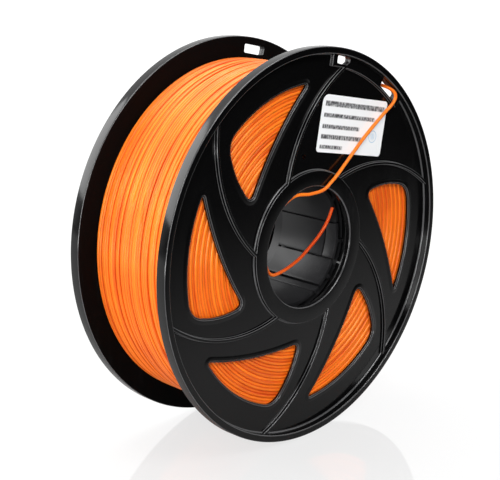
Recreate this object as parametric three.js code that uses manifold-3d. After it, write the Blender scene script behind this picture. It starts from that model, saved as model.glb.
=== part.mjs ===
// A spool of 3-D printing filament: two moulded flanges, the slotted hub core that joins them, the wound
// filament, its free end tucked into the bore, and a paper label.
// Millimetres, +Z up. The spool's axis is Y, the labelled flange faces -Y and the origin is the centre.
import * as THREE from "three";
import { mergeVertices } from "three/addons/utils/BufferGeometryUtils.js";
import Module from "manifold-3d";

const wasm = await Module();
wasm.setup();

// Flange, measured from the spool's axis and from its middle plane outwards.
const RIM_R = 100;
const RIM_INNER_R = 96.4;
const BOSS_R = 39;
const BORE_R = 30.8;
const FLANGE_INNER = 27.9;
const WEB_FACE = 29.5;
const BOSS_FACE = 31.3;
const RIM_FACE = 33.7;
const COLLAR_R = [34.9, 37.1];
const COLLAR_END = 22.3;

// The six swirl ribs follow one arc, turned in steps about the axis.
const SECTORS = 6;
const RIB_WIDTH = 1.7;
const RIB_ARC_R = 77;
const RIB_ARC_CENTRE = [62.4, 17.6];
const RIB_ARC_SPAN = [109, 169.5];

// Windows: corner places as [radius, degrees], each edge's bulge and each corner's rounding length.
const WINDOW_SECTORS = 5;
const WINDOW_CORNERS = [
  [82, 91],
  [82, 132],
  [50, 143.5],
];
const WINDOW_BULGES = [5.2, 2.9, -3.0];
const WINDOW_ROUNDING = [2.6, 6, 5];

// The raised pad with the two clip slots, and the two small holes, all in the labelled sector.
const PAD = { inner: 90.5, from: 43.5, to: 80.8 };
const CLIP_SLOTS = [
  { from: 72.9, to: 78.8, inner: 92.1, outer: 96.2 },
  { from: 46.2, to: 55.3, inner: 91.6, outer: 96.25 },
];
const PIN_HOLES = [
  [46.6, 94.5],
  [41.2, 51.1],
];
const PIN_HOLE_R = 1.2;

// Hub core: a drum that carries the winding, and a slotted sleeve inside it.
const DRUM_R = [37.5, 39.5];
const DRUM_HALF = 27.5;
const SLEEVE_R = [31, 33.2];
const SLEEVE_HALF = 21.7;
const SLEEVE_RING = 5.5;
const FINGER_SETS = 3;
const SEAMS = [8.5, -27, -56, -64];
const SEAM_WIDTH = 0.8;
const CATCH_LENGTH = 7;
const SPOKES = [32, -42];
const CATCH_SPOKE = -9;
const SPOKE_WIDTH = 1.8;

// Winding, label and the rear flange's turn about the axis.
const WINDING_R = [39.8, 89.3];
const WINDING_HALF = 27.5;
const REAR_TURN = 52;
const LABEL = { width: 51.5, height: 28.8, thickness: 0.25, gap: 0.3, corner: 2.2, tilt: -11.4 };
const LABEL_CENTRE = [33, 56.8];

// Free end of the filament, from the winding through the clip slot, across the face and into the bore.
const FILAMENT_D = 1.75;
const TAIL_SIDES = 8;
const TAIL_STEPS = 78;
const TAIL_ROUTE = [
  [42.4, -26.2, 80.4],
  [49.9, -26.3, 77.4],
  [55.0, -27.0, 75.6],
  [58.5, -28.8, 74.3],
  [61.2, -31.0, 72.7],
  [63.1, -32.5, 70.5],
  [63.3, -32.7, 67.6],
  [60.3, -32.5, 64.3],
  [54.9, -31.7, 60.3],
  [41.2, -31.4, 50.9],
  [26.4, -32.0, 40.2],
  [18.3, -32.6, 34.6],
  [13.6, -32.7, 31.6],
  [7.8, -32.4, 28.4],
  [-0.6, -31.0, 27.5],
  [-9.4, -29.0, 27.7],
  [-18.6, -27.6, 22.6],
  [-25.6, -27.4, 14.3],
  [-29.0, -27.6, 4.6],
  [-28.8, -27.9, -4.2],
  [-25.0, -28.0, -9.4],
  [-18.0, -27.6, -9.8],
  [-9.7, -27.0, -8.3],
  [-2.1, -26.5, -5.9],
  [4.9, -26.0, -2.4],
  [11.9, -25.5, 1.6],
  [17.2, -25.1, 5.6],
  [21.3, -24.7, 9.8],
  [24.4, -24.4, 14.8],
];

// Facets around each turned piece; flats face straight down, up and to the sides.
const FACETS = 60;
const FLAT_SCALE = 1 / Math.cos(Math.PI / FACETS);

const BLACK_PLASTIC = new THREE.MeshStandardMaterial({ color: 0x17181a, roughness: 0.32, metalness: 0 });
const CORE_PLASTIC = new THREE.MeshStandardMaterial({ color: 0x1c1d1f, roughness: 0.4, metalness: 0 });
const FILAMENT = new THREE.MeshStandardMaterial({ color: 0xff7a2c, roughness: 0.4, metalness: 0 });
const LABEL_PAPER = new THREE.MeshStandardMaterial({ color: 0xf2f3f4, roughness: 0.6, metalness: 0 });

const radians = THREE.MathUtils.degToRad;

// A point in a flange's own plane, from a radius and an angle in degrees.
function polar(radius, degrees) {
  return new THREE.Vector2(Math.cos(radians(degrees)), Math.sin(radians(degrees))).multiplyScalar(radius);
}

// A closed geometry as a manifold solid.
function solidOf(geometry) {
  const bare = geometry.clone();
  bare.deleteAttribute("normal");
  bare.deleteAttribute("uv");
  const merged = mergeVertices(bare, 1e-4);
  return new wasm.Manifold(
    new wasm.Mesh({
      numProp: 3,
      vertProperties: merged.attributes.position.array,
      triVerts: new Uint32Array(merged.index.array),
    }),
  );
}

// A manifold solid as a named mesh.
function meshOf(name, solid, material) {
  const { numProp, vertProperties, triVerts } = solid.getMesh();
  const positions = new Float32Array((vertProperties.length / numProp) * 3);
  for (let i = 0; i < positions.length / 3; i += 1) {
    positions.set(vertProperties.subarray(i * numProp, i * numProp + 3), i * 3);
  }
  const geometry = new THREE.BufferGeometry();
  geometry.setAttribute("position", new THREE.BufferAttribute(positions, 3));
  geometry.setIndex(new THREE.BufferAttribute(triVerts, 1));
  const mesh = new THREE.Mesh(geometry, material);
  mesh.name = name;
  return mesh;
}

// A turned solid about local Z, from a closed outline of [radius, height] pairs.
function turned(outline) {
  const points = [...outline, outline[0]].map(([r, w]) => new THREE.Vector2(r * FLAT_SCALE, w));
  const geometry = new THREE.LatheGeometry(points, FACETS, Math.PI / FACETS);
  geometry.rotateX(Math.PI / 2);
  return solidOf(geometry);
}

// A flat outline raised from one height to another along local Z.
function raised(shape, low, high) {
  const geometry = new THREE.ExtrudeGeometry(shape, { depth: high - low, bevelEnabled: false, curveSegments: 8 });
  geometry.translate(0, 0, low);
  return solidOf(geometry);
}

// A sector of a ring, between two radii and two angles, about a given centre.
function ringSector(centre, inner, outer, from, to) {
  const shape = new THREE.Shape();
  shape.absarc(centre.x, centre.y, outer, radians(from), radians(to), false);
  shape.absarc(centre.x, centre.y, inner, radians(to), radians(from), true);
  return shape;
}

// A point at share t of the arc from a to b that bulges by the given height to its right.
function onBulge(a, b, bulge, t) {
  const along = b.clone().sub(a);
  const right = new THREE.Vector2(along.y, -along.x).normalize();
  return a.clone().addScaledVector(along, t).addScaledVector(right, 4 * bulge * t * (1 - t));
}

// The outline of one window: three bulged edges joined by rounded corners.
function windowShape() {
  const corners = WINDOW_CORNERS.map(([radius, degrees]) => polar(radius, degrees));
  const edges = corners.map((corner, i) => {
    const next = corners[(i + 1) % corners.length];
    const length = corner.distanceTo(next);
    const start = WINDOW_ROUNDING[i] / length;
    const end = 1 - WINDOW_ROUNDING[(i + 1) % corners.length] / length;
    return { at: (t) => onBulge(corner, next, WINDOW_BULGES[i], t), start, end };
  });
  const shape = new THREE.Shape();
  const first = edges[0].at(edges[0].start);
  shape.moveTo(first.x, first.y);
  edges.forEach((edge, i) => {
    const steps = 7;
    for (let s = 1; s <= steps; s += 1) {
      const p = edge.at(edge.start + ((edge.end - edge.start) * s) / steps);
      shape.lineTo(p.x, p.y);
    }
    const next = edges[(i + 1) % edges.length];
    const corner = corners[(i + 1) % corners.length];
    const landing = next.at(next.start);
    shape.quadraticCurveTo(corner.x, corner.y, landing.x, landing.y);
  });
  return shape;
}

// Copies of a solid turned in equal steps about local Z.
function copiesAround(solid, count) {
  return Array.from({ length: count }, (_, i) => solid.rotate([0, 0, (i * 360) / SECTORS]));
}

// One flange in its own frame: X and Y across its outer face, Z outwards along the spool's axis.
// Its ribs, pad, windows and holes are turned about the axis by the given angle in degrees.
function flange(turn) {
  const disc = turned([
    [BORE_R, FLANGE_INNER],
    [COLLAR_R[0], FLANGE_INNER],
    [COLLAR_R[0], COLLAR_END],
    [COLLAR_R[1], COLLAR_END],
    [COLLAR_R[1], FLANGE_INNER],
    [RIM_R, FLANGE_INNER],
    [RIM_R, RIM_FACE],
    [RIM_INNER_R, RIM_FACE],
    [RIM_INNER_R, WEB_FACE],
    [BOSS_R, WEB_FACE],
    [BOSS_R, BOSS_FACE],
    [BORE_R, BOSS_FACE],
  ]);
  const origin = new THREE.Vector2(0, 0);
  const inWeb = (FLANGE_INNER + WEB_FACE) / 2;
  const below = FLANGE_INNER - 1;
  const above = RIM_FACE + 1;

  const ribCentre = polar(...RIB_ARC_CENTRE);
  const ribOutline = ringSector(ribCentre, RIB_ARC_R - RIB_WIDTH / 2, RIB_ARC_R + RIB_WIDTH / 2, ...RIB_ARC_SPAN);
  const padOutline = ringSector(origin, PAD.inner, (RIM_INNER_R + RIM_R) / 2, PAD.from, PAD.to);
  const standing = [
    ...copiesAround(raised(ribOutline, inWeb, BOSS_FACE), SECTORS),
    raised(padOutline, inWeb, BOSS_FACE),
  ];

  const slots = CLIP_SLOTS.map(({ inner, outer, from, to }) => ringSector(origin, inner, outer, from, to));
  const holes = PIN_HOLES.map(([radius, degrees]) => {
    const centre = polar(radius, degrees);
    return new THREE.Shape().absarc(centre.x, centre.y, PIN_HOLE_R, 0, 2 * Math.PI, false);
  });
  const cuts = [
    ...copiesAround(raised(windowShape(), below, above), WINDOW_SECTORS),
    ...[...slots, ...holes].map((outline) => raised(outline, below, above)),
  ];

  const withRibs = standing.reduce((body, piece) => body.add(piece.rotate([0, 0, turn])), disc);
  return cuts.reduce((body, cutter) => body.subtract(cutter.rotate([0, 0, turn])), withRibs);
}

// A radial bar: a box centred at a radius and an angle about local Z, between two heights.
function radialBar(radiusSpan, width, degrees, low, high) {
  const geometry = new THREE.BoxGeometry(radiusSpan[1] - radiusSpan[0], width, high - low);
  geometry.translate((radiusSpan[0] + radiusSpan[1]) / 2, 0, (low + high) / 2);
  geometry.rotateZ(radians(degrees));
  return solidOf(geometry);
}

// The hub core in the front flange's frame: drum, slotted sleeve and the spokes between them.
function hubCore() {
  const tube = ([inner, outer], low, high) =>
    turned([
      [inner, low],
      [outer, low],
      [outer, high],
      [inner, high],
    ]);
  let sleeve = tube(SLEEVE_R, -SLEEVE_HALF, SLEEVE_HALF);
  const step = 360 / FINGER_SETS;
  const across = [SLEEVE_R[0] - 1, SLEEVE_R[1] + 1];
  const seamEnd = -SLEEVE_HALF + SLEEVE_RING;
  const catchEnd = SLEEVE_HALF - CATCH_LENGTH;
  const origin = new THREE.Vector2(0, 0);
  for (let i = 0; i < FINGER_SETS; i += 1) {
    for (const seam of SEAMS) {
      sleeve = sleeve.subtract(radialBar(across, SEAM_WIDTH, seam + i * step, seamEnd, SLEEVE_HALF + 1));
    }
    const gap = ringSector(origin, across[0], across[1], SEAMS[1] + i * step, SEAMS[0] + i * step);
    sleeve = sleeve.subtract(raised(gap, catchEnd - SEAM_WIDTH, catchEnd));
  }
  let core = tube(DRUM_R, -DRUM_HALF, DRUM_HALF).add(sleeve);
  const reach = [(SLEEVE_R[0] + SLEEVE_R[1]) / 2, (DRUM_R[0] + DRUM_R[1]) / 2];
  for (let i = 0; i < FINGER_SETS; i += 1) {
    for (const spoke of SPOKES) {
      core = core.add(radialBar(reach, SPOKE_WIDTH, spoke + i * step, -SLEEVE_HALF, SLEEVE_HALF));
    }
    core = core.add(radialBar(reach, SPOKE_WIDTH, CATCH_SPOKE + i * step, catchEnd, SLEEVE_HALF));
  }
  return core;
}

// The label sheet in the front flange's frame: a rectangle with rounded corners.
function label() {
  const { width, height, corner, thickness, gap } = LABEL;
  const x = width / 2;
  const y = height / 2;
  const shape = new THREE.Shape();
  shape.moveTo(-x + corner, -y);
  shape.lineTo(x - corner, -y);
  shape.quadraticCurveTo(x, -y, x, -y + corner);
  shape.lineTo(x, y - corner);
  shape.quadraticCurveTo(x, y, x - corner, y);
  shape.lineTo(-x + corner, y);
  shape.quadraticCurveTo(-x, y, -x, y - corner);
  shape.lineTo(-x, -y + corner);
  shape.quadraticCurveTo(-x, -y, -x + corner, -y);
  const sheet = raised(shape, WEB_FACE + gap, WEB_FACE + gap + thickness);
  return sheet.rotate([0, 0, LABEL.tilt]).translate([...LABEL_CENTRE, 0]);
}

// The filament's free end: a round section swept along its route.
function filamentTail() {
  const section = new THREE.Shape();
  for (let i = 0; i < TAIL_SIDES; i += 1) {
    const p = polar(FILAMENT_D / 2, (360 * i) / TAIL_SIDES);
    if (i === 0) section.moveTo(p.x, p.y);
    else section.lineTo(p.x, p.y);
  }
  section.closePath();
  const route = new THREE.CatmullRomCurve3(TAIL_ROUTE.map((p) => new THREE.Vector3(...p)));
  return solidOf(new THREE.ExtrudeGeometry(section, { steps: TAIL_STEPS, extrudePath: route, bevelEnabled: false }));
}

const spool = new THREE.Group();

const frontSide = new THREE.Group();
frontSide.rotation.x = Math.PI / 2;
const windingOutline = [
  [WINDING_R[0], -WINDING_HALF],
  [WINDING_R[1], -WINDING_HALF],
  [WINDING_R[1], WINDING_HALF],
  [WINDING_R[0], WINDING_HALF],
];
frontSide.add(
  meshOf("front_flange", flange(0), BLACK_PLASTIC),
  meshOf("hub_core", hubCore(), CORE_PLASTIC),
  meshOf("filament_winding", turned(windingOutline), FILAMENT),
  meshOf("label", label(), LABEL_PAPER),
);

const rearSide = new THREE.Group();
rearSide.rotation.set(Math.PI / 2, 0, Math.PI, "ZYX");
rearSide.add(meshOf("rear_flange", flange(REAR_TURN), BLACK_PLASTIC));

spool.add(frontSide, rearSide, meshOf("filament_tail", filamentTail(), FILAMENT));

export default spool;
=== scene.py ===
"""Looks of a filament spool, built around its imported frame.

Every moulded piece is shaped in a flange's own frame, in millimetres: X across, Y up and Z outwards along
the spool's axis. It is placed in the row frame, in metres, when its mesh is finished.
"""

import logging
import math
import random
from dataclasses import dataclass, field
from enum import Enum
from typing import Iterable, Sequence

import bmesh
import bpy
from mathutils import Matrix, Vector, noise
from mathutils.geometry import delaunay_2d_cdt

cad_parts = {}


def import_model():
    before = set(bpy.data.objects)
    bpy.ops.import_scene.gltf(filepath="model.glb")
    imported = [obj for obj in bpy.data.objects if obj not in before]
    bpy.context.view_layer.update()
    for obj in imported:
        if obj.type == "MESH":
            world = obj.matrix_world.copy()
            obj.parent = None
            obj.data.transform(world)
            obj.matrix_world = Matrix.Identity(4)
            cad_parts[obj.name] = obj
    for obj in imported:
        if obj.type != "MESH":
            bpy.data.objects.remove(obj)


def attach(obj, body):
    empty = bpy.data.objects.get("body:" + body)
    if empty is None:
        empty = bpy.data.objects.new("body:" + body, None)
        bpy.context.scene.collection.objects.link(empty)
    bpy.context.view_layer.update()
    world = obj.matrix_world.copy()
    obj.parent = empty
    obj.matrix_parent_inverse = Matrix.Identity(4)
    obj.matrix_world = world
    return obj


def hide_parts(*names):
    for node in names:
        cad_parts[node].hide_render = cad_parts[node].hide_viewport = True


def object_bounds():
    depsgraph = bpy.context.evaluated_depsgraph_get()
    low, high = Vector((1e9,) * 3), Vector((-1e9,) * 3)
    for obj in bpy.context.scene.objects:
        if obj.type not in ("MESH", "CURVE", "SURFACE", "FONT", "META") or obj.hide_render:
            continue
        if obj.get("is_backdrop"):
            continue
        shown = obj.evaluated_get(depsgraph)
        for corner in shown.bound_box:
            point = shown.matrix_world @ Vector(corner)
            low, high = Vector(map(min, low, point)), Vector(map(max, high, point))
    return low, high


LOG = logging.getLogger("spool")
MM = 0.001
BODY = "root"
SIXTH = 60.0
Point = tuple[float, float]
Triple = tuple[float, float, float]


class Side(Enum):
    """Which way a moulding's outward axis points in the row frame."""

    FRONT = "front"
    REAR = "rear"

    @property
    def placement(self) -> Matrix:
        """The matrix from the moulding's own frame in millimetres to the row frame in metres."""
        sign = 1 if self is Side.FRONT else -1
        columns = ((sign, 0, 0), (0, 0, 1), (0, -sign, 0))
        return Matrix(columns).transposed().to_4x4() @ Matrix.Scale(MM, 4)


# ---------------------------------------------------------------- outlines


def polar(radius: float, degrees: float) -> Vector:
    """A point in a moulding's plane from its radius and its angle."""
    angle = math.radians(degrees)
    return Vector((radius * math.cos(angle), radius * math.sin(angle)))


def arc(centre: Vector, radius: float, start: float, end: float, count: int) -> list[Vector]:
    """Points along an arc.

    Args:
        centre: The arc's centre.
        radius: Its radius.
        start: Its first angle in degrees.
        end: Its last angle in degrees.
        count: How many steps it takes.

    Returns:
        The points from start to end, both included.
    """
    return [centre + polar(radius, start + (end - start) * i / count) for i in range(count + 1)]


def ring_sector(centre: Vector, radii: Point, angles: Point, count: int) -> list[Vector]:
    """The closed outline between two radii and two angles about a centre."""
    outer = arc(centre, radii[1], angles[0], angles[1], count)
    inner = arc(centre, radii[0], angles[1], angles[0], count)
    return outer + inner


def rounded(corners: Sequence[Point], radii: Sequence[float], segments: int = 6) -> list[Vector]:
    """An open outline whose inner corners are rounded.

    Args:
        corners: The outline's corners in order.
        radii: One rounding radius for each corner; 0 leaves it sharp.
        segments: Steps around each rounded corner.

    Returns:
        The outline's points.
    """
    points = [Vector(corners[0])]
    for before, at, after, radius in zip(corners, corners[1:], corners[2:], radii[1:]):
        corner = Vector(at)
        if radius <= 0:
            points.append(corner)
            continue
        back = (Vector(before) - corner).normalized()
        on = (Vector(after) - corner).normalized()
        half = back.angle(on) / 2
        reach = radius / math.tan(half)
        first, last = corner + back * reach, corner + on * reach
        centre = corner + (back + on).normalized() * (radius / math.sin(half))
        start, end = first - centre, last - centre
        sweep = start.angle_signed(end)
        for i in range(segments + 1):
            points.append(centre + Matrix.Rotation(-sweep * i / segments, 2) @ start)
    points.append(Vector(corners[-1]))
    return points


def offset(outline: Sequence[Vector], distance: float) -> list[Vector]:
    """A closed outline, drawn anticlockwise, moved outwards by a distance."""
    moved = []
    for i, point in enumerate(outline):
        along = outline[(i + 1) % len(outline)] - outline[i - 1]
        moved.append(point + Vector((along.y, -along.x)).normalized() * distance)
    return moved


def turned_outline(outline: Iterable[Vector], degrees: float) -> list[Vector]:
    """An outline turned about the axis."""
    turn = Matrix.Rotation(math.radians(degrees), 2)
    return [turn @ point for point in outline]


def holds(outline: Sequence[Vector], point: Vector) -> bool:
    """Whether a closed outline goes round a point."""
    inside = False
    for a, b in zip(outline, [*outline[1:], outline[0]]):
        if (a.y > point.y) != (b.y > point.y):
            inside ^= point.x < (b.x - a.x) * (point.y - a.y) / (b.y - a.y) + a.x
    return inside


# ---------------------------------------------------------------- moulded meshes


@dataclass
class Moulding:
    """One mesh under construction, in its own frame in millimetres."""

    steps: int = 240
    mesh: bmesh.types.BMesh = field(default_factory=bmesh.new)

    def turn(self, profile: Sequence[Vector], closed: bool = False) -> None:
        """Spins an outline of radius and height once round the axis."""
        verts = [self.mesh.verts.new((p.x, 0, p.y)) for p in profile]
        pairs = list(zip(verts, verts[1:])) + ([(verts[-1], verts[0])] if closed else [])
        edges = [self.mesh.edges.new(pair) for pair in pairs]
        bmesh.ops.spin(
            self.mesh, geom=verts + edges, cent=(0, 0, 0), axis=(0, 0, 1), angle=math.tau,
            steps=self.steps, use_merge=True, use_duplicate=False,
        )

    def plate(self, height: float, outlines: Iterable[Sequence[Vector]]) -> None:
        """Fills the flat face bounded by several closed outlines, holes among them."""
        outlines = list(outlines)
        loops = [[self.mesh.verts.new((*at, height)) for at in outline] for outline in outlines]
        verts = [vert for loop in loops for vert in loop]
        ties, first = [], 0
        for loop in loops:
            ties += [(first + i, first + (i + 1) % len(loop)) for i in range(len(loop))]
            first += len(loop)
        flat = [vert.co.xy for vert in verts]
        triangles = delaunay_2d_cdt(flat, ties, [], 1, 1e-6)[2]
        for corners in triangles:
            middle = sum((flat[i] for i in corners), Vector((0, 0))) / 3
            if sum(holds(outline, middle) for outline in outlines) % 2:
                self.mesh.faces.new([verts[i] for i in corners])

    def skirt(self, outline: Sequence[Vector], profile: Sequence[Vector]) -> None:
        """Joins copies of an outline, each offset and raised as the profile says."""
        rows = [[self.mesh.verts.new((*at, p.y)) for at in offset(outline, p.x)] for p in profile]
        for lower, upper in zip(rows, rows[1:]):
            for i in range(len(lower)):
                self.mesh.faces.new((lower[i - 1], lower[i], upper[i], upper[i - 1]))

    def arc_block(self, radii: Point, heights: Point, angles: Point, edge: float) -> None:
        """A curved block about the axis with softened edges.

        Args:
            radii: Inner and outer radius.
            heights: Lower and upper height.
            angles: First and last angle in degrees.
            edge: Width of the softened edges.
        """
        block = bmesh.new()
        start = Matrix.Rotation(math.radians(angles[0]), 3, "Z")
        (inner, outer), (low, high) = radii, heights
        corners = [(inner, low), (outer, low), (outer, high), (inner, high)]
        face = block.faces.new([block.verts.new(start @ Vector((r, 0, h))) for r, h in corners])
        bmesh.ops.spin(
            block, geom=[face, *face.edges, *face.verts], cent=(0, 0, 0), axis=(0, 0, 1),
            angle=math.radians(angles[1] - angles[0]), steps=max(3, round((angles[1] - angles[0]) / 2.5)),
            use_merge=False, use_duplicate=False,
        )
        self.absorb(block, edge)

    def bar(self, radii: Point, width: float, heights: Point, degrees: float, edge: float) -> None:
        """A straight radial bar with softened edges."""
        block = bmesh.new()
        bmesh.ops.create_cube(block, size=1)
        size = (radii[1] - radii[0], width, heights[1] - heights[0])
        centre = ((radii[0] + radii[1]) / 2, 0, (heights[0] + heights[1]) / 2)
        bmesh.ops.scale(block, vec=size, verts=block.verts)
        bmesh.ops.translate(block, vec=centre, verts=block.verts)
        bmesh.ops.rotate(
            block, cent=(0, 0, 0), matrix=Matrix.Rotation(math.radians(degrees), 3, "Z"), verts=block.verts,
        )
        self.absorb(block, edge)

    def absorb(self, block: bmesh.types.BMesh, edge: float = 0.0) -> None:
        """Adds another closed mesh to this one, its sharp edges softened first."""
        bmesh.ops.remove_doubles(block, verts=block.verts, dist=1e-4)
        bmesh.ops.recalc_face_normals(block, faces=block.faces)
        if edge > 0:
            sharp = [e for e in block.edges if len(e.link_faces) == 2 and e.calc_face_angle(0) > 0.8]
            bmesh.ops.bevel(
                block, geom=sharp, affect="EDGES", offset=edge, segments=2, profile=0.5,
                material=-1, clamp_overlap=True,
            )
        loose = bpy.data.meshes.new("block")
        block.to_mesh(loose)
        block.free()
        self.mesh.from_mesh(loose)
        bpy.data.meshes.remove(loose)

    def close(self) -> bpy.types.Mesh:
        """Merges what touches, points every face outwards and gives the mesh back, still in its own frame."""
        bmesh.ops.remove_doubles(self.mesh, verts=self.mesh.verts, dist=1e-3)
        bmesh.ops.recalc_face_normals(self.mesh, faces=self.mesh.faces)
        if self.mesh.calc_volume(signed=True) < 0:
            bmesh.ops.reverse_faces(self.mesh, faces=self.mesh.faces)
        made = bpy.data.meshes.new("moulding")
        self.mesh.to_mesh(made)
        self.mesh.free()
        return made


def cut(base: bpy.types.Mesh, cutter: bpy.types.Mesh) -> bpy.types.Mesh:
    """A closed mesh with another closed mesh cut away from it."""
    body = bpy.data.objects.new("cut_body", base)
    tool = bpy.data.objects.new("cut_tool", cutter)
    for thing in (body, tool):
        bpy.context.scene.collection.objects.link(thing)
    boolean = body.modifiers.new("cut", "BOOLEAN")
    boolean.operation = "DIFFERENCE"
    boolean.solver = "EXACT"
    boolean.object = tool
    graph = bpy.context.evaluated_depsgraph_get()
    made = bpy.data.meshes.new_from_object(body.evaluated_get(graph))
    for thing in (body, tool):
        bpy.data.objects.remove(thing)
    return made


def place(name: str, meshes: Sequence[bpy.types.Mesh], side: Side, sharp: float = 38) -> bpy.types.Object:
    """Joins meshes into one piece that rides on the spool.

    Args:
        name: The piece's name.
        meshes: Closed meshes in a moulding's own frame.
        side: Which way that frame points.
        sharp: Edges that turn by more degrees than this stay crisp.

    Returns:
        The piece, at the origin, with its place in its mesh.
    """
    whole = bmesh.new()
    for mesh in meshes:
        whole.from_mesh(mesh)
    bmesh.ops.transform(whole, matrix=side.placement, verts=whole.verts)
    mesh = bpy.data.meshes.new(name)
    whole.to_mesh(mesh)
    whole.free()
    mesh.shade_smooth()
    mesh.set_sharp_from_angle(angle=math.radians(sharp))
    piece = bpy.data.objects.new(name, mesh)
    bpy.context.scene.collection.objects.link(piece)
    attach(piece, BODY)
    LOG.info("%s: %d faces", name, len(mesh.polygons))
    return piece


# ---------------------------------------------------------------- finishes


class Tree:
    """A short way to add nodes to a node tree and to join them."""

    def __init__(self, tree: bpy.types.NodeTree) -> None:
        """Keeps the tree."""
        self.tree = tree

    def add(self, kind: str, **settings: object) -> bpy.types.Node:
        """A new node; settings whose names are the node's own are set on it, the rest are input values."""
        node = self.tree.nodes.new(kind)
        for name, value in settings.items():
            if name in node.bl_rna.properties:
                setattr(node, name, value)
            else:
                node.inputs[name.replace("_", " ")].default_value = value
        return node

    def join(self, source: bpy.types.NodeSocket, target: bpy.types.NodeSocket) -> None:
        """Links an output to an input."""
        self.tree.links.new(source, target)

    def math(self, operation: str, *values: object) -> bpy.types.NodeSocket:
        """The result of a Math node fed with sockets or numbers."""
        node = self.tree.nodes.new("ShaderNodeMath")
        node.operation = operation
        for slot, value in zip(node.inputs, values):
            if isinstance(value, bpy.types.NodeSocket):
                self.join(value, slot)
            else:
                slot.default_value = value
        return node.outputs[0]

    def mix(self, amount: object, first: object, second: object, blend: str = "MIX") -> bpy.types.NodeSocket:
        """The colour between two colours or sockets."""
        node = self.tree.nodes.new("ShaderNodeMix")
        node.data_type = "RGBA"
        node.blend_type = blend
        for slot, value in ((node.inputs[0], amount), (node.inputs[6], first), (node.inputs[7], second)):
            if isinstance(value, bpy.types.NodeSocket):
                self.join(value, slot)
            else:
                slot.default_value = value
        return node.outputs[2]

    def band(self, value: object, low: float, high: float, to: Point = (0.0, 1.0)) -> bpy.types.NodeSocket:
        """A value carried smoothly from one range to another."""
        node = self.tree.nodes.new("ShaderNodeMapRange")
        node.interpolation_type = "SMOOTHSTEP"
        node.inputs["From Min"].default_value = low
        node.inputs["From Max"].default_value = high
        node.inputs["To Min"].default_value = to[0]
        node.inputs["To Max"].default_value = to[1]
        self.join(value, node.inputs["Value"])
        return node.outputs["Result"]


def new_group(name: str, inputs: dict[str, float], outputs: Sequence[str]) -> tuple[Tree, dict, dict]:
    """Starts a node group of plain values.

    Args:
        name: The group's name.
        inputs: Each input's name and its default value.
        outputs: The outputs' names.

    Returns:
        The group's tree, its input sockets and its output sockets by name.
    """
    group = bpy.data.node_groups.new(name, "ShaderNodeTree")
    group.interface.new_socket("Vector", in_out="INPUT", socket_type="NodeSocketVector")
    for key, value in inputs.items():
        group.interface.new_socket(key, in_out="INPUT", socket_type="NodeSocketFloat").default_value = value
    for key in outputs:
        group.interface.new_socket(key, in_out="OUTPUT", socket_type="NodeSocketFloat")
    tree = Tree(group)
    entry = group.nodes.new("NodeGroupInput")
    leave = group.nodes.new("NodeGroupOutput")
    ins = {socket.name: socket for socket in entry.outputs if socket.name}
    outs = {socket.name: socket for socket in leave.inputs if socket.name}
    return tree, ins, outs


def moulded_grain_group() -> bpy.types.NodeTree:
    """The fine uneven skin of a moulding: a height and a patchy gloss."""
    tree, ins, outs = new_group("moulded_grain", {"Grain": 1800.0, "Patch": 28.0}, ("Height", "Patches"))
    fine = tree.add("ShaderNodeTexNoise", Detail=3.0, Roughness=0.55)
    broad = tree.add("ShaderNodeTexNoise", Detail=4.0, Roughness=0.6)
    tree.join(ins["Vector"], fine.inputs["Vector"])
    tree.join(ins["Vector"], broad.inputs["Vector"])
    tree.join(ins["Grain"], fine.inputs["Scale"])
    tree.join(ins["Patch"], broad.inputs["Scale"])
    tree.join(fine.outputs[0], outs["Height"])
    tree.join(tree.band(broad.outputs[0], 0.35, 0.65), outs["Patches"])
    return tree.tree


def handling_marks_group() -> bpy.types.NodeTree:
    """Hairline scratches and specks of dust from handling, as one mask each."""
    tree, ins, outs = new_group("handling_marks", {"Scratch": 60.0, "Dust": 900.0}, ("Scratches", "Specks"))
    handled = tree.add("ShaderNodeTexNoise", Scale=9.0, Detail=2.0)
    tree.join(ins["Vector"], handled.inputs["Vector"])
    stretched = tree.add("ShaderNodeMapping")
    stretched.inputs["Scale"].default_value = (1.0, 1.0, 0.07)
    stretched.inputs["Rotation"].default_value = (0.3, 0.9, 0.2)
    tree.join(ins["Vector"], stretched.inputs["Vector"])
    lines = tree.add("ShaderNodeTexNoise", Detail=6.0, Roughness=0.7)
    tree.join(stretched.outputs[0], lines.inputs["Vector"])
    tree.join(ins["Scratch"], lines.inputs["Scale"])
    ridge = tree.math("ABSOLUTE", tree.math("SUBTRACT", lines.outputs[0], 0.5))
    hairs = tree.band(ridge, 0.0, 0.012, (1.0, 0.0))
    patches = tree.band(handled.outputs[0], 0.5, 0.68)
    tree.join(tree.math("MULTIPLY", hairs, patches), outs["Scratches"])
    specks = tree.add("ShaderNodeTexVoronoi", feature="F1")
    tree.join(ins["Vector"], specks.inputs["Vector"])
    tree.join(ins["Dust"], specks.inputs["Scale"])
    tree.join(tree.band(specks.outputs["Distance"], 0.04, 0.12, (1.0, 0.0)), outs["Specks"])
    return tree.tree


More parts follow.
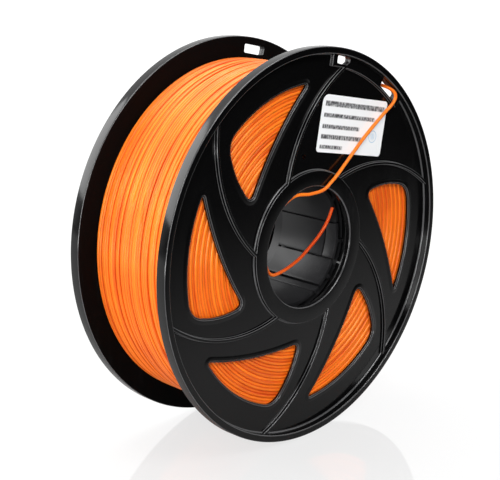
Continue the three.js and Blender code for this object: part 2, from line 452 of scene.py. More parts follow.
@dataclass(frozen=True)
class Finish:
    """What every finish shares: its name, the record's slot and its material's nodes."""

    name: str
    slot: str

    def start(self) -> tuple[bpy.types.Material, Tree, bpy.types.Node]:
        """A new material with one Principled shader.

        Returns:
            The material, its tree and the shader node.
        """
        material = bpy.data.materials.new(self.name)
        material.use_nodes = True
        material.node_tree.nodes.clear()
        tree = Tree(material.node_tree)
        shader = tree.add("ShaderNodeBsdfPrincipled")
        output = tree.add("ShaderNodeOutputMaterial")
        tree.join(shader.outputs[0], output.inputs["Surface"])
        return material, tree, shader

    def group(
        self, tree: Tree, group: bpy.types.NodeTree, vector: bpy.types.NodeSocket, **values: float
    ) -> bpy.types.Node:
        """A node group placed in the material with this finish's own values."""
        node = tree.tree.nodes.new("ShaderNodeGroup")
        node.node_tree = group
        tree.join(vector, node.inputs["Vector"])
        for name, value in values.items():
            node.inputs[name].default_value = value
        return node

    def wear(self, piece: bpy.types.Object, material: bpy.types.Material) -> None:
        """Puts the material on a piece."""
        piece.data.materials.clear()
        piece.data.materials.append(material)


@dataclass(frozen=True)
class BlackPlastic(Finish):
    """Black moulded plastic: patchy gloss, hairline scratches, a painted highlight along its rounded edges
    and a little dust.
    """

    tone: float = 0.0018
    gloss: float = 0.11
    dull: float = 0.17
    shine: float = 0.45
    grain: float = 0.04
    painted_edge_highlight: float = 0.085
    dust: float = 0.25
    scuff: float = 7.0
    scuff_cover: float = 0.35
    scuff_roughness: float = 0.12
    dust_cover: float = 0.05

    def material(self, grain: bpy.types.NodeTree, marks: bpy.types.NodeTree) -> bpy.types.Material:
        """The plastic's material, from the shared grain and marks groups."""
        material, tree, shader = self.start()
        place_at = tree.add("ShaderNodeTexCoord").outputs["Object"]
        skin = self.group(tree, grain, place_at)
        worn = self.group(tree, marks, place_at)
        base = (self.tone, self.tone, self.tone * 1.08, 1)
        scuffed = (self.tone * self.scuff, self.tone * self.scuff, self.tone * (self.scuff + 0.4), 1)
        colour = tree.mix(tree.math("MULTIPLY", worn.outputs["Scratches"], self.scuff_cover), base, scuffed)
        # Painted highlight: a lighter grey is mixed into the colour along the rounded edges, from a mask
        # stored on the mesh.
        edges = tree.add("ShaderNodeAttribute", attribute_name="painted_edge_highlight_mask").outputs["Fac"]
        painted_edge_highlight = tree.math("MULTIPLY", edges, tree.band(skin.outputs["Patches"], 0.0, 1.0, (0.65, 1.0)))
        colour = tree.mix(painted_edge_highlight, colour, (self.painted_edge_highlight, self.painted_edge_highlight, self.painted_edge_highlight * 1.03, 1))
        specks = tree.math("MULTIPLY", worn.outputs["Specks"], self.dust_cover)
        tree.join(tree.mix(specks, colour, (self.dust, self.dust, self.dust, 1)), shader.inputs["Base Color"])
        rough = tree.math("MULTIPLY_ADD", skin.outputs["Patches"], self.dull - self.gloss, self.gloss)
        scratched = tree.math("MULTIPLY_ADD", worn.outputs["Scratches"], self.scuff_roughness, rough)
        tree.join(scratched, shader.inputs["Roughness"])
        shader.inputs["Specular IOR Level"].default_value = self.shine
        bump = tree.add("ShaderNodeBump", Strength=self.grain, Distance=0.0001)
        tree.join(skin.outputs["Height"], bump.inputs["Height"])
        tree.join(bump.outputs[0], shader.inputs["Normal"])
        return material


@dataclass(frozen=True)
class Filament(Finish):
    """Drawn orange filament: satin, a little translucent, its tone shifting from turn to turn."""

    pale: Triple = (1.0, 0.22, 0.014)
    deep: Triple = (0.55, 0.04, 0.002)
    glint: Triple = (1.0, 0.72, 0.3)
    roughness: float = 0.3
    shine: float = 0.8
    glow: float = 0.12
    glow_radius: Triple = (1.0, 0.3, 0.1)
    glow_depth: float = 0.0012

    def material(self, grain: bpy.types.NodeTree) -> bpy.types.Material:
        """The filament's material; it reads each strand's own tone and painted shade from the mesh."""
        material, tree, shader = self.start()
        place_at = tree.add("ShaderNodeTexCoord").outputs["Object"]
        skin = self.group(tree, grain, place_at, Grain=2600.0, Patch=45.0)
        shade = tree.add("ShaderNodeAttribute", attribute_name="strand_tone_and_painted_shade").outputs["Fac"]
        patchy = tree.math("MULTIPLY_ADD", skin.outputs["Patches"], 0.18, shade)
        # The stored value moves the colour towards the deep orange: random tone plus painted shade.
        tree.join(tree.mix(patchy, (*self.pale, 1), (*self.deep, 1)), shader.inputs["Base Color"])
        rough = tree.math("MULTIPLY_ADD", skin.outputs["Patches"], 0.08, self.roughness)
        tree.join(rough, shader.inputs["Roughness"])
        shader.inputs["Subsurface Weight"].default_value = self.glow
        shader.inputs["Subsurface Radius"].default_value = self.glow_radius
        shader.inputs["Subsurface Scale"].default_value = self.glow_depth
        shader.inputs["Specular IOR Level"].default_value = self.shine
        shader.inputs["Specular Tint"].default_value = (*self.glint, 1)
        bump = tree.add("ShaderNodeBump", Strength=0.06, Distance=0.0001)
        tree.join(skin.outputs["Height"], bump.inputs["Height"])
        tree.join(bump.outputs[0], shader.inputs["Normal"])
        return material


@dataclass(frozen=True)
class LabelPaper(Finish):
    """Coated white paper with rows of blurred print and a small pale ring."""

    white: Triple = (0.93, 0.94, 0.95)
    ink: Triple = (0.03, 0.03, 0.035)
    pale_ink: Triple = (0.18, 0.45, 0.68)
    ring_at: Point = (43.0, 18.8)
    ring_radius: float = 3.0
    first_letter: float = 2.7
    rows: tuple[tuple[float, float, float, float], ...] = (
        (2.2, 50.5, 4.4, 1.3),
        (2.2, 43.5, 10.2, 1.0),
        (2.2, 31.8, 15.8, 1.0),
        (2.2, 36.6, 20.9, 1.1),
        (2.2, 20.4, 26.0, 0.9),
    )

    def row_mask(
        self, tree: Tree, across: bpy.types.NodeSocket, down: bpy.types.NodeSocket, row: Sequence[float]
    ) -> bpy.types.NodeSocket:
        """One row of print as a mask: where it starts and ends, how far down it is and half its height."""
        start, end, middle, half = row
        left = tree.band(across, start - 0.3, start + 0.3)
        right = tree.band(across, end - 2.0, end + 0.2, (1.0, 0.0))
        off = tree.math("ABSOLUTE", tree.math("SUBTRACT", down, middle))
        inside = tree.band(off, half - 0.35, half + 0.35, (1.0, 0.0))
        return tree.math("MULTIPLY", tree.math("MULTIPLY", left, right), inside)

    def material(self, grain: bpy.types.NodeTree) -> bpy.types.Material:
        """The label's material; print and ring are laid out in millimetres on its own UV map."""
        material, tree, shader = self.start()
        uv = tree.add("ShaderNodeUVMap", uv_map="label_mm")
        parts = tree.add("ShaderNodeSeparateXYZ")
        tree.join(uv.outputs[0], parts.inputs[0])
        across, down = parts.outputs[0], parts.outputs[1]
        words = tree.add("ShaderNodeTexNoise", Scale=1.0, Detail=3.0, Roughness=0.6)
        squeeze = tree.add("ShaderNodeMapping")
        squeeze.inputs["Scale"].default_value = (1.25, 0.45, 1.0)
        tree.join(uv.outputs[0], squeeze.inputs["Vector"])
        tree.join(squeeze.outputs[0], words.inputs["Vector"])
        print_tone = tree.band(words.outputs[0], 0.3, 0.62, (0.35, 1.0))
        mask = None
        for row in self.rows:
            one = self.row_mask(tree, across, down, row)
            mask = one if mask is None else tree.math("MAXIMUM", mask, one)
        inked = tree.math("MULTIPLY", mask, print_tone)
        from_first = tree.math("ABSOLUTE", tree.math("SUBTRACT", across, self.first_letter))
        first = tree.band(from_first, 0.3, 0.6, (1.0, 0.0))
        bold = tree.math("MULTIPLY", tree.math("MULTIPLY", first, mask), 0.9)
        colour = tree.mix(tree.math("MAXIMUM", inked, bold), (*self.white, 1), (*self.ink, 1))
        beside = tree.math("POWER", tree.math("SUBTRACT", across, self.ring_at[0]), 2.0)
        below = tree.math("POWER", tree.math("SUBTRACT", down, self.ring_at[1]), 2.0)
        far = tree.math("SQRT", tree.math("ADD", beside, below))
        from_ring = tree.math("ABSOLUTE", tree.math("SUBTRACT", far, self.ring_radius))
        line = tree.band(from_ring, 0.1, 0.4, (0.55, 0.0))
        inside = tree.math("MULTIPLY", tree.band(far, 1.0, 2.6, (0.4, 0.0)), print_tone)
        ringed = tree.mix(tree.math("MAXIMUM", line, inside), colour, (*self.pale_ink, 1))
        place_at = tree.add("ShaderNodeTexCoord").outputs["Object"]
        skin = self.group(tree, grain, place_at, Grain=3000.0, Patch=60.0)
        fibres = tree.mix(tree.math("MULTIPLY", skin.outputs["Patches"], 0.04), ringed, (0.6, 0.6, 0.6, 1))
        tree.join(fibres, shader.inputs["Base Color"])
        tree.join(tree.math("MULTIPLY_ADD", skin.outputs["Patches"], 0.1, 0.42), shader.inputs["Roughness"])
        bump = tree.add("ShaderNodeBump", Strength=0.08, Distance=0.0001)
        tree.join(skin.outputs["Height"], bump.inputs["Height"])
        tree.join(bump.outputs[0], shader.inputs["Normal"])
        return material


# ---------------------------------------------------------------- studio


@dataclass
class Softbox:
    """A rectangular studio light aimed at the spool."""

    name: str
    place: Triple
    aim: Triple
    size: Point
    power: float

    def build(self) -> bpy.types.Object:
        """Adds the light to the scene."""
        data = bpy.data.lights.new(self.name, "AREA")
        data.shape = "RECTANGLE"
        data.size, data.size_y = self.size
        data.energy = self.power
        light = bpy.data.objects.new(self.name, data)
        light.location = self.place
        light.visible_camera = False
        light.rotation_mode = "QUATERNION"
        light.rotation_quaternion = (Vector(self.aim) - Vector(self.place)).to_track_quat("-Z", "Y")
        bpy.context.scene.collection.objects.link(light)
        return light


@dataclass
class Studio:
    """Camera, lights, backdrop and floor."""

    eye: Triple = (-0.44869, -0.42582, 0.17461)
    target: Triple = (-0.01119, 0.0, -0.00003)
    lens: float = 89.55
    sensor: float = 36.0
    bright_way: Triple = (0.6, 0.75, 0.25)
    backdrop: float = 1.0
    front: float = 0.02
    floor_reach: float = 3.0
    floor_tone: float = 0.12
    floor_lift: float = 0.72
    bounce_from: Point = (-0.42, 0.1)
    bounce: Point = (0.012, 0.36)
    boxes: tuple[Softbox, ...] = (
        Softbox("back_left_box", (-0.85, 1.0, 0.75), (0, 0, 0), (1.3, 1.0), 16),
        Softbox("left_strip", (-0.33, -0.16, -0.02), (0, -0.03, 0), (0.42, 0.03), 0.5),
        Softbox("top_box", (0.1, 0.3, 1.3), (0, 0, 0), (1.2, 0.8), 16),
        Softbox("front_left_box", (-1.15, -0.75, 0.45), (0, 0, 0), (0.25, 0.9), 13),
        Softbox("front_top_box", (-0.1, -1.1, 1.05), (0, 0, 0), (0.8, 0.5), 15),
    )

    def camera(self) -> bpy.types.Object:
        """The camera at the viewing angle."""
        data = bpy.data.cameras.new("camera")
        data.lens = self.lens
        data.sensor_width = self.sensor
        camera = bpy.data.objects.new("camera", data)
        camera.location = self.eye
        camera.rotation_mode = "QUATERNION"
        camera.rotation_quaternion = (Vector(self.target) - Vector(self.eye)).to_track_quat("-Z", "Y")
        bpy.context.scene.collection.objects.link(camera)
        bpy.context.scene.camera = camera
        return camera

    def world(self) -> None:
        """A white backdrop behind the spool that falls to dark in front of it."""
        world = bpy.data.worlds.new("studio")
        world.use_nodes = True
        world.node_tree.nodes.clear()
        tree = Tree(world.node_tree)
        where = tree.add("ShaderNodeTexCoord").outputs["Generated"]
        facing = tree.add("ShaderNodeVectorMath", operation="DOT_PRODUCT")
        facing.inputs[1].default_value = Vector(self.bright_way).normalized()
        tree.join(where, facing.inputs[0])
        level = tree.band(facing.outputs["Value"], -0.1, 0.65, (self.front, self.backdrop))
        seen = tree.add("ShaderNodeLightPath").outputs["Is Camera Ray"]
        ground = tree.add("ShaderNodeBackground")
        ground.inputs["Color"].default_value = (1, 1, 1, 1)
        tree.join(tree.math("MAXIMUM", level, seen), ground.inputs["Strength"])
        output = tree.add("ShaderNodeOutputWorld")
        tree.join(ground.outputs[0], output.inputs[0])
        bpy.context.scene.world = world

    def floor(self, height: float) -> bpy.types.Object:
        """A plain pale floor with a soft sheen; what it throws back at the spool is painted darker in front,
        a painted falloff of light.
        """
        sheet = bmesh.new()
        bmesh.ops.create_grid(sheet, x_segments=1, y_segments=1, size=self.floor_reach)
        bmesh.ops.translate(sheet, vec=(0, 0, height), verts=sheet.verts)
        mesh = bpy.data.meshes.new("floor")
        sheet.to_mesh(mesh)
        sheet.free()
        floor = bpy.data.objects.new("floor", mesh)
        bpy.context.scene.collection.objects.link(floor)
        material = bpy.data.materials.new("pale_floor")
        material.use_nodes = True
        material.node_tree.nodes.clear()
        tree = Tree(material.node_tree)
        tone = (self.floor_tone, self.floor_tone, self.floor_tone, 1)
        seen = tree.add("ShaderNodeBsdfPrincipled", Base_Color=tone, Roughness=0.04)
        seen.inputs["Emission Color"].default_value = (1, 1, 1, 1)
        seen.inputs["Emission Strength"].default_value = self.floor_lift
        parts = tree.add("ShaderNodeSeparateXYZ")
        tree.join(tree.add("ShaderNodeTexCoord").outputs["Object"], parts.inputs[0])
        # Painted light falloff: the floor's colour for light bounced onto the spool darkens towards the
        # front.
        painted_light_falloff = tree.band(parts.outputs[1], *self.bounce_from, self.bounce)
        bounced = tree.add("ShaderNodeBsdfDiffuse")
        tree.join(painted_light_falloff, bounced.inputs["Color"])
        choice = tree.add("ShaderNodeMixShader")
        tree.join(tree.add("ShaderNodeLightPath").outputs["Is Camera Ray"], choice.inputs[0])
        tree.join(bounced.outputs[0], choice.inputs[1])
        tree.join(seen.outputs[0], choice.inputs[2])
        output = tree.add("ShaderNodeOutputMaterial")
        tree.join(choice.outputs[0], output.inputs["Surface"])
        mesh.materials.append(material)
        floor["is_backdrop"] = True
        return floor

    def build(self, height: float) -> None:
        """Sets up everything but the camera."""
        self.world()
        self.floor(height)
        for box in self.boxes:
            box.build()
        bpy.context.scene.view_settings.view_transform = "Standard"


# ---------------------------------------------------------------- the spool's pieces


@dataclass
class FreeEnd:
    """The filament's free end: off the winding, out through a clip slot, over the face, into the bore."""

    diameter: float = 1.75
    sides: int = 14
    steps: int = 12
    end_round: float = 0.16
    end_length: float = 0.12
    # Painted shade along the strand: its value where lit, the depths over which it darkens into the bore, and
    # by how much.
    lit_shade: float = 0.1
    shaded_depth: Point = (-30.0, 3.0)
    shade_gain: float = 0.85
    route: tuple[Triple, ...] = (
        (42.4, -26.2, 80.4),
        (49.9, -26.3, 77.4),
        (55.0, -27.0, 75.6),
        (58.5, -28.8, 74.3),
        (61.2, -31.0, 72.7),
        (63.1, -32.5, 70.5),
        (63.3, -32.7, 67.6),
        (60.3, -32.5, 64.3),
        (54.9, -31.7, 60.3),
        (41.2, -31.4, 50.9),
        (26.4, -32.0, 40.2),
        (18.3, -32.6, 34.6),
        (13.6, -32.7, 31.6),
        (7.8, -32.4, 28.4),
        (-0.6, -31.0, 27.5),
        (-9.4, -29.0, 27.7),
        (-18.6, -27.6, 22.6),
        (-25.6, -27.4, 14.3),
        (-29.0, -27.6, 4.6),
        (-28.8, -27.9, -4.2),
        (-25.0, -28.0, -9.4),
        (-18.0, -27.6, -9.8),
        (-9.7, -27.0, -8.3),
        (-2.1, -26.5, -5.9),
        (4.9, -26.0, -2.4),
        (11.9, -25.5, 1.6),
        (17.2, -25.1, 5.6),
        (21.3, -24.7, 9.8),
        (24.4, -24.4, 14.8),
    )

    def build(self) -> bpy.types.Object:
        """The free end as a round strand along one smooth curve."""
        path = self.path()
        strand = Moulding()
        turn = Vector((0, 0, 1))
        rows = []
        for i, at in enumerate(path):
            along = (path[min(i + 1, len(path) - 1)] - path[max(i - 1, 0)]).normalized()
            turn = (turn - along * turn.dot(along)).normalized()
            rows.append(self.ring(strand, at, along, turn, self.diameter / 2))
            if i in (0, len(path) - 1):
                end = along if i else -along
                narrow = self.diameter / 2 - self.end_round
                cap = self.ring(strand, at + end * self.end_length, along, turn, narrow)
                rows.insert(0 if i == 0 else len(rows), cap)
        for lower, upper in zip(rows, rows[1:]):
            for i in range(self.sides):
                strand.mesh.faces.new((lower[i - 1], lower[i], upper[i], upper[i - 1]))
        for row in (rows[0], rows[-1]):
            strand.mesh.faces.new(row)
        mesh = strand.close()
        mesh.transform(Matrix.Scale(MM, 4))
        mesh.shade_smooth()
        piece = bpy.data.objects.new("filament_free_end", mesh)
        bpy.context.scene.collection.objects.link(piece)
        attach(piece, BODY)
        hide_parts("filament_tail")
        # Painted shade: the strand is coloured darker where it runs inside the bore.
        shade = mesh.attributes.new("strand_tone_and_painted_shade", "FLOAT", "POINT")
        shade.data.foreach_set("value", [self.tone(vert.co.y / MM) for vert in mesh.vertices])
        return piece

    def tone(self, depth: float) -> float:
        """The strand's painted shade at a depth along the spool's axis: darker where it runs inside the bore.
        """
        start, run = self.shaded_depth
        return self.lit_shade + self.shade_gain * min(1.0, max(0.0, depth - start) / run)

    def ring(
        self, strand: Moulding, at: Vector, along: Vector, turn: Vector, radius: float
    ) -> list[bmesh.types.BMVert]:
        """One round section of the strand.

        Args:
            strand: The mesh under construction.
            at: The section's centre.
            along: The strand's direction there.
            turn: A unit direction square to it, from which the section starts.
            radius: The section's radius.

        Returns:
            The section's vertices in order.
        """
        across = along.cross(turn)
        angles = [math.tau * i / self.sides for i in range(self.sides)]
        points = [at + turn * (radius * math.cos(a)) + across * (radius * math.sin(a)) for a in angles]
        return [strand.mesh.verts.new(point) for point in points]

    def path(self) -> list[Vector]:
        """The strand's centreline: a smooth curve through the route's points, close-stepped."""
        points = [Vector(p) for p in self.route]
        line = [points[0]]
        for i in range(len(points) - 1):
            before, after = points[max(0, i - 1)], points[min(len(points) - 1, i + 2)]
            a, b = points[i], points[i + 1]
            for step in range(1, self.steps + 1):
                t = step / self.steps
                line.append(0.5 * (
                    2 * a + (b - before) * t + (2 * before - 5 * a + 4 * b - after) * t**2
                    + (3 * a - before - 3 * b + after) * t**3
                ))
        return line


@dataclass
class Flange:
    """One moulded flange: rim, web with windows, swirl ribs, hub ring, clip pad and slots."""

    side: Side
    turn: float
    rim: Point = (96.4, 100.0)
    ring: Point = (30.8, 39.0)
    back: float = 27.9
    web: float = 29.5
    top: float = 31.3
    face: float = 33.7
    collar: Triple = (34.9, 37.1, 22.3)
    plane_edge: float = 94.4
    ring_edge: float = 41.0
    collar_edge: float = 38.3
    window_corners: tuple[Point, ...] = ((82, 91), (82, 132), (50, 143.5))
    window_bulges: tuple[float, ...] = (5.2, 2.9, -3.0)
    window_rounding: tuple[float, ...] = (2.6, 6.0, 5.0)
    windows: int = 5
    rib_centre: Point = (62.4, 17.6)
    rib_radius: float = 77.0
    rib_width: float = 1.7
    rib_span: Point = (109.0, 169.5)
    pad: Triple = (90.5, 43.5, 80.8)
    slots: tuple[tuple[float, float, float, float], ...] = (
        (92.1, 96.2, 72.9, 78.8),
        (91.6, 96.25, 46.2, 55.3),
    )
    pin_holes: tuple[Point, ...] = ((46.6, 94.5), (41.2, 51.1))
    pin_radius: float = 1.2
    slot_rounding: float = 1.1
    lip_reach: float = 3.0
    lip_height: float = 0.5
    lip_ledge: float = 0.75
    foot: float = 0.8
    flare: float = 0.4
    flat_within: float = 0.03
    fillet_height: float = 1.1
    # Normal tilts between which a rounded edge gets the painted highlight.
    highlight_tilt: Point = (0.3, 0.94)
    inner_within: float = 0.2
    edge_steps: int = 24
    corner_steps: int = 9

    def window(self) -> list[Vector]:
        """One window's outline: three bulged edges joined by rounded corners."""
        corners = [polar(*corner) for corner in self.window_corners]
        count = len(corners)

        def on_edge(i: int, t: float) -> Vector:
            """A point at share t of the bulged edge that starts at corner i."""
            start, along = corners[i], corners[(i + 1) % count] - corners[i]
            right = Vector((along.y, -along.x)).normalized()
            return start + along * t + right * (4 * self.window_bulges[i] * t * (1 - t))

        spans = []
        for i in range(count):
            after = (i + 1) % count
            length = (corners[after] - corners[i]).length
            spans.append((self.window_rounding[i] / length, 1 - self.window_rounding[after] / length))
        outline = []
        for i, (first, last) in enumerate(spans):
            steps = range(self.edge_steps + 1)
            outline += [on_edge(i, first + (last - first) * step / self.edge_steps) for step in steps]
            leave, corner = outline[-1], corners[(i + 1) % count]
            land = on_edge((i + 1) % count, spans[(i + 1) % count][0])
            for step in range(1, self.corner_steps):
                t = step / self.corner_steps
                outline.append(leave * (1 - t) ** 2 + corner * (2 * t * (1 - t)) + land * t**2)
        return outline

    def circle(self, radius: float, steps: int) -> list[Vector]:
        """A circle about the axis, its first point at angle 0."""
        return [polar(radius, 360 * i / steps) for i in range(steps)]

    def body(self) -> bpy.types.Mesh:
        """The closed body: rim, web, hub ring and collar, with windows and pin holes."""
        body = Moulding()
        steps = body.steps
        body.turn(
            rounded(
                [
                    (self.plane_edge, self.web), (self.rim[0], self.web), (self.rim[0], self.face),
                    (self.rim[1], self.face), (self.rim[1], self.back), (self.plane_edge, self.back),
                ],
                [0, 1.1, 0.8, 0.5, 0.5, 0],
            )
        )
        inner, outer, end = self.collar
        body.turn(
            rounded(
                [
                    (self.ring_edge, self.web), (self.ring[1], self.web), (self.ring[1], self.top),
                    (self.ring[0], self.top), (self.ring[0], self.back), (inner, self.back), (inner, end),
                    (outer, end), (outer, self.back), (self.collar_edge, self.back),
                ],
                [0, 0.9, 0.4, 1.0, 0.4, 0, 0.3, 0.3, 0, 0],
            )
        )
        window = self.window()
        openings = [turned_outline(window, self.turn + SIXTH * i) for i in range(self.windows)]
        lip, ledge = self.web + self.lip_height, self.web - 0.1
        wall = rounded(
            [
                (self.lip_reach + 0.7, self.web), (self.lip_reach, self.web), (self.lip_ledge, lip),
                (self.lip_ledge, ledge), (0, ledge), (0, self.back), (0.6, self.back),
            ],
            [0, 1.5, 0.45, 0.12, 0.3, 0.25, 0], 4,
        )
        for outline in openings:
            body.skirt(outline, wall)
        front = [offset(outline, wall[0].x) for outline in openings]
        rear = [offset(outline, wall[-1].x) for outline in openings]
        edge = self.circle(self.plane_edge, steps)
        body.plate(self.web, [edge, self.circle(self.ring_edge, steps), *front])
        body.plate(self.back, [edge, self.circle(self.collar_edge, steps), *rear])
        return body.close()

    def standing(self, outline: Sequence[Vector], top: float) -> bpy.types.Mesh:
        """A rib or pad that stands on the web: flared foot, upright wall and a softened top edge."""
        piece = Moulding()
        profile = [Vector((self.flare, self.web - self.foot))] + rounded(
            [(self.flare, self.web), (0, self.web), (0, top), (-0.6, top)], [0, 0.35, 0.5, 0],
        )
        piece.skirt(outline, profile)
        piece.plate(profile[0].y, [offset(outline, profile[0].x)])
        piece.plate(top, [offset(outline, profile[-1].x)])
        return piece.close()

    def ribs(self) -> list[bpy.types.Mesh]:
        """The six swirl ribs."""
        half = self.rib_width / 2
        radii = (self.rib_radius - half, self.rib_radius + half)
        rib = ring_sector(polar(*self.rib_centre), radii, self.rib_span, 48)
        turns = [self.turn + SIXTH * i for i in range(6)]
        return [self.standing(turned_outline(rib, turn), self.top - 0.01) for turn in turns]

    def clip_pad(self) -> bpy.types.Mesh:
        """The raised pad beside the rim."""
        inner, start, end = self.pad
        outline = ring_sector(Vector((0, 0)), (inner, sum(self.rim) / 2), (start, end), 40)
        return self.standing(turned_outline(outline, self.turn), self.top)

    def slot(self, inner: float, outer: float, start: float, end: float) -> list[Vector]:
        """One clip slot's outline, its four corners rounded."""
        reach = math.degrees(self.slot_rounding / outer)
        corners = []
        for radius, angle, turn in ((outer, start, 1), (outer, end, -1), (inner, end, -1), (inner, start, 1)):
            side = self.slot_rounding if radius == inner else -self.slot_rounding
            along = polar(radius, angle + turn * reach)
            corners.append((polar(radius + side, angle), polar(radius, angle), along))
        outline = []
        for i, (wall, corner, run) in enumerate(corners):
            first, last = (wall, run) if i % 2 == 0 else (run, wall)
            for step in range(5):
                t = step / 4
                outline.append(first * (1 - t) ** 2 + corner * (2 * t * (1 - t)) + last * t**2)
        return outline

    def cutter(self) -> bpy.types.Mesh:
        """The two clip slots and the two pin holes as one cutting mesh."""
        cutter = Moulding()
        outlines = [self.slot(*slot) for slot in self.slots]
        for hole in self.pin_holes:
            outlines.append([polar(*hole) + polar(self.pin_radius, 15 * i) for i in range(24)])
        low, high = self.back - 3, self.face + 3
        for outline in outlines:
            turned = turned_outline(outline, self.turn)
            cutter.skirt(turned, [Vector((0, low)), Vector((0, high))])
            cutter.plate(low, [turned])
            cutter.plate(high, [turned])
        return cutter.close()

    def build(self) -> bpy.types.Object:
        """The whole flange as one piece."""
        solids = [cut(self.body(), self.cutter()), cut(self.clip_pad(), self.cutter()), *self.ribs()]
        piece = place(f"{self.side.value}_flange_moulding", solids, self.side)
        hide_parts(f"{self.side.value}_flange")
        return piece

    def highlight_at(self, vert: bpy.types.MeshVertex) -> float:
        """How much painted highlight a point on the moulding gets: 1 on its outward rounded edges, 0
        elsewhere.
        """
        height, tilt = abs(vert.co.y) / MM, abs(vert.normal.y)
        radius = math.hypot(vert.co.x, vert.co.z) / MM
        levels = (self.back, self.web, self.top, self.face)
        flat = any(abs(height - level) < self.flat_within for level in levels)
        if flat or (height < self.back + self.fillet_height and radius < self.plane_edge):
            return 0.0
        low, high = self.highlight_tilt
        return float(low < tilt < high)

    def dress(self, piece: bpy.types.Object, outer: bpy.types.Material, inner: bpy.types.Material) -> None:
        """Puts the outer finish all over, a darker, duller copy of it as painted shade on the face towards
        the winding, and stores the painted edge-highlight mask.
        """
        piece.data.materials.append(outer)
        piece.data.materials.append(inner)
        # The mask of the painted highlight along the rounded edges.
        wear = piece.data.attributes.new("painted_edge_highlight_mask", "FLOAT", "POINT")
        wear.data.foreach_set("value", [self.highlight_at(vert) for vert in piece.data.vertices])
        for face in piece.data.polygons:
            if abs(face.center.y) < (self.back + self.inner_within) * MM and abs(face.normal.y) > 0.9:
                face.material_index = 1


@dataclass
class Core:
    """The hub core: a drum, a slotted sleeve with catch fingers inside it, and spokes between them."""

    drum: Point = (37.5, 39.5)
    drum_half: float = 27.5
    sleeve: Point = (31.0, 33.2)
    sleeve_half: float = 21.7
    ring_width: float = 5.5
    seam: float = 0.8
    catch: float = 7.0
    catch_span: Point = (-27.0, 8.5)
    recess: float = 0.9
    recess_span: Point = (-64.0, -56.0)
    set_end: float = 56.0
    sets: int = 3
    spokes: tuple[float, ...] = (32.0, -42.0)
    catch_spoke: float = -9.0
    spoke_width: float = 1.8
    spoke_bite: float = 0.6

    def section(self, radii: Point, low: float, high: float) -> list[Vector]:
        """A rectangle of radius and height between two radii and two heights."""
        inner, outer = radii
        return [Vector(at) for at in ((inner, low), (outer, low), (outer, high), (inner, high))]

    def build(self) -> bpy.types.Object:
        """The whole core as one piece."""
        core = Moulding()
        half = self.drum_half
        core.turn(self.section(self.drum, -half, half), True)
        inner, outer = self.sleeve
        half = self.sleeve_half
        low = -half + self.ring_width
        core.turn(self.section(self.sleeve, -half, low), True)
        gap = math.degrees(self.seam / 2 / inner)
        first, last = self.catch_span
        reach = (outer - self.spoke_bite, self.drum[0] + self.spoke_bite)
        for i in range(self.sets):
            turn = 360 / self.sets * i
            for start, end, height, recess in (
                (*self.recess_span, half, self.recess),
                (self.recess_span[1], first, half, 0.0),
                (first, last, half - self.catch - self.seam, 0.0),
                (last, self.set_end, half, 0.0),
            ):
                angles = (turn + start + gap, turn + end - gap)
                core.arc_block((inner + recess, outer), (low - 0.5, height), angles, 0.25)
            catch_angles = (turn + first + gap, turn + last - gap)
            core.arc_block((inner, outer), (half - self.catch, half), catch_angles, 0.25)
            for spoke in self.spokes:
                core.bar(reach, self.spoke_width, (-half, half), turn + spoke, 0.2)
            catch_heights = (half - self.catch, half)
            core.bar(reach, self.spoke_width, catch_heights, turn + self.catch_spoke, 0.2)
        piece = place("hub_core_moulding", [core.close()], Side.FRONT)
        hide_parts("hub_core")
        return piece


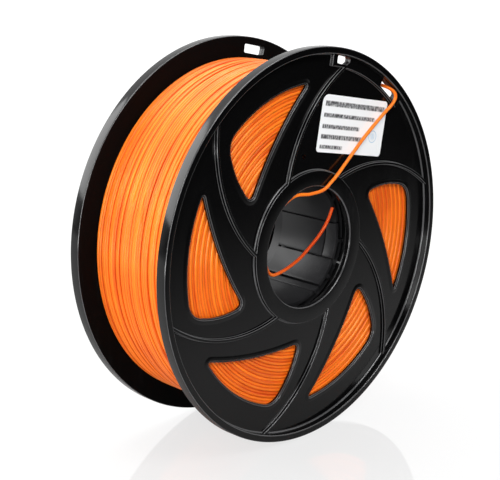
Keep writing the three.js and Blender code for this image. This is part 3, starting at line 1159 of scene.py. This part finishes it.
@dataclass
class Winding:
    """The wound filament, strand by strand where it shows: the outer turns and the layers' edges."""

    radii: Point = (39.8, 89.3)
    half: float = 27.5
    strand: float = 1.75
    turns: int = 33
    layers: int = 29
    steps: int = 200
    seed: int = 7
    recess: float = 0.38
    outer_band: float = 1.9
    front_from: int = 100
    rear_from: int = 200
    wander: float = 0.22
    drift: float = 0.7
    tone_base: float = 0.15
    tone_swing: float = 0.5
    sunk_painted_shade: float = 0.12
    groove_shade_from: float = 0.45

    @property
    def pitch(self) -> float:
        """The distance between neighbouring turns."""
        return 2 * self.half / self.turns

    @property
    def layer_step(self) -> float:
        """The radius that each layer adds."""
        return (self.radii[1] - self.radii[0]) / self.layers

    def layer_edge(self, layer: int) -> list[Point]:
        """A layer's last turn by a flange, as radius and depth below it; every other one lies back."""
        r = self.strand / 2
        middle = self.radii[1] - r - layer * self.layer_step
        back = self.recess * (layer % 2)
        angles = [math.radians(a) for a in (58, 22, -22, -58)]
        return [(middle + r * math.sin(a), back + r - r * math.cos(a)) for a in angles]

    def profile(self, dips: Sequence[float]) -> list[Vector]:
        """The section through the winding: a scalloped outline of radius and height."""
        r = self.strand / 2
        centre = self.radii[1] - r
        edges = [point for layer in range(1, self.layers) for point in self.layer_edge(layer)]
        outline = [Vector((radius, depth - self.half)) for radius, depth in reversed(edges)]
        for i in range(self.turns):
            middle = -self.half + self.pitch * (i + 0.5)
            for a in (math.radians(step) for step in (-66, -33, 0, 33, 66)):
                outline.append(Vector((centre - dips[i] + r * math.cos(a), middle + r * math.sin(a))))
        outline += [Vector((radius, self.half - depth)) for radius, depth in edges]
        outline += [Vector((self.radii[0], self.half - r)), Vector((self.radii[0], r - self.half))]
        return outline

    def build(self) -> bpy.types.Object:
        """The winding as one piece with each strand's tone and painted shade stored on it."""
        pick = random.Random(self.seed)
        dips = [pick.choice((0.0, 0.04, 0.1, 0.3, 0.55)) for _ in range(self.turns)]
        wound = Moulding(steps=self.steps)
        wound.turn(self.profile(dips), closed=True)
        self.unsettle(wound)
        piece = place("filament_winding_strands", [wound.close()], Side.FRONT, sharp=60)
        self.shade(piece)
        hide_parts("filament_winding")
        return piece

    def strand_at(self, point: Vector) -> tuple[int, float, float]:
        """Where a point of the winding lies.

        Args:
            point: The point, in the winding's own frame in millimetres.

        Returns:
            Its strand's number, its angle about the axis, and how near a groove it is, from 0 to 1.
        """
        radius = math.hypot(point.x, point.y)
        angle = math.atan2(point.y, point.x)
        if radius > self.radii[1] - self.outer_band:
            place_in = (point.z + self.half) / self.pitch
            return int(place_in), angle, abs(place_in % 1 - 0.5) * 2
        place_in = (self.radii[1] - self.strand / 2 - radius) / self.layer_step
        layer = round(place_in)
        return (self.front_from if point.z > 0 else self.rear_from) + layer, angle, abs(place_in - layer) * 2

    def unsettle(self, wound: Moulding) -> None:
        """Moves each strand a little along its way round, as real turns never lie quite true."""
        for vert in wound.mesh.verts:
            strand, angle, _ = self.strand_at(vert.co)
            at = Vector((math.cos(angle) * 1.3, math.sin(angle) * 1.3, strand * 3.7))
            sway = noise.noise(at) * self.wander
            sink = abs(noise.noise(at + Vector((9, 9, 9)))) * self.wander
            if strand < self.front_from:
                scale = 1 - sink / self.radii[1]
                vert.co = Vector((vert.co.x * scale, vert.co.y * scale, vert.co.z + sway * self.drift))
            else:
                scale = 1 + sway / self.radii[1]
                inwards = -sink if vert.co.z > 0 else sink
                vert.co = Vector((vert.co.x * scale, vert.co.y * scale, vert.co.z + inwards))

    def shade(self, piece: bpy.types.Object) -> None:
        """Stores each strand's own tone, with painted shade added in the grooves and on the edges of the
        layers that lie back, for the finish to read.
        """
        shades = piece.data.attributes.new("strand_tone_and_painted_shade", "FLOAT", "POINT")
        undo = Side.FRONT.placement.inverted()
        values = []
        for vert in piece.data.vertices:
            strand, angle, groove = self.strand_at(undo @ vert.co)
            tone = noise.noise(Vector((strand * 5.1, math.cos(angle), math.sin(angle))))
            edge = strand >= self.front_from
            # Painted shade: every other layer edge and each groove between strands are coloured darker.
            sunk_shade = self.sunk_painted_shade if edge and strand % 2 else 0.0
            dark = max(0.0, groove - self.groove_shade_from) * (0.9 if edge else 1.3)
            values.append(min(1.0, max(0.0, self.tone_base + tone * self.tone_swing + sunk_shade + dark)))
        shades.data.foreach_set("value", values)


@dataclass
class Label:
    """The paper label on the front flange's web."""

    centre: Point = (33.0, 56.8)
    size: Point = (51.5, 28.8)
    tilt: float = -11.4
    corners: tuple[float, ...] = (1.8, 1.8, 1.8, 4.0)
    base: float = 29.5
    thickness: float = 0.12

    def outline(self) -> list[Vector]:
        """The sheet's outline, anticlockwise, about its own centre."""
        x, y = self.size[0] / 2, self.size[1] / 2
        square = [(-x, -y), (x, -y), (x, y), (-x, y)]
        middle = (0.0, -y)
        order = [middle, square[1], square[2], square[3], square[0], middle]
        radii = [0, self.corners[1], self.corners[2], self.corners[3], self.corners[0], 0]
        return rounded(order, radii, 5)[:-1]

    def build(self) -> bpy.types.Object:
        """The sheet, with a map in millimetres from its upper left corner."""
        sheet = Moulding()
        outline = self.outline()
        wall = [Vector((0.0, self.base)), Vector((0.0, self.base + self.thickness))]
        sheet.skirt(outline, wall)
        for row in wall:
            sheet.plate(row.y, [outline])
        mesh = sheet.close()
        layer = mesh.uv_layers.new(name="label_mm")
        for loop in mesh.loops:
            at = mesh.vertices[loop.vertex_index].co
            layer.data[loop.index].uv = (at.x + self.size[0] / 2, self.size[1] / 2 - at.y)
        turn = Matrix.Translation((*self.centre, 0)) @ Matrix.Rotation(math.radians(self.tilt), 4, "Z")
        mesh.transform(turn)
        piece = place("label_sheet", [mesh], Side.FRONT)
        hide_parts("label")
        return piece


def main() -> None:
    """Builds the studio and every piece of the spool."""
    logging.basicConfig(level=logging.INFO, format="%(name)s: %(message)s")
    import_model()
    cad_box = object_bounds()
    studio = Studio()
    studio.camera()
    free_end = FreeEnd().build()

    grain = moulded_grain_group()
    marks = handling_marks_group()
    black = BlackPlastic("spool_black_plastic", "spool_black")
    core_black = BlackPlastic(
        "core_black_plastic", "core_black", tone=0.012, gloss=0.36, dull=0.46, shine=0.35,
    )
    filament = Filament("orange_filament", "filament_orange")
    paper = LabelPaper("label_paper", "label_white")
    # Painted shade: a darker, duller, barely reflecting copy of the black for the faces towards the winding.
    shaded_inner_black = BlackPlastic(
        "shaded_inner_black_plastic", "spool_black", tone=0.0012, gloss=0.5, dull=0.6, shine=0.05, grain=0.1,
    )
    outer, inner = black.material(grain, marks), shaded_inner_black.material(grain, marks)
    for flange in (Flange(Side.FRONT, 0.0), Flange(Side.REAR, 52.0)):
        piece = flange.build()
        flange.dress(piece, outer, inner)
    core_black.wear(Core().build(), core_black.material(grain, marks))
    orange = filament.material(grain)
    filament.wear(free_end, orange)
    filament.wear(Winding().build(), orange)
    paper.wear(Label().build(), paper.material(grain))

    studio.build(cad_box[0].z)


if __name__ == "__main__":
    main()
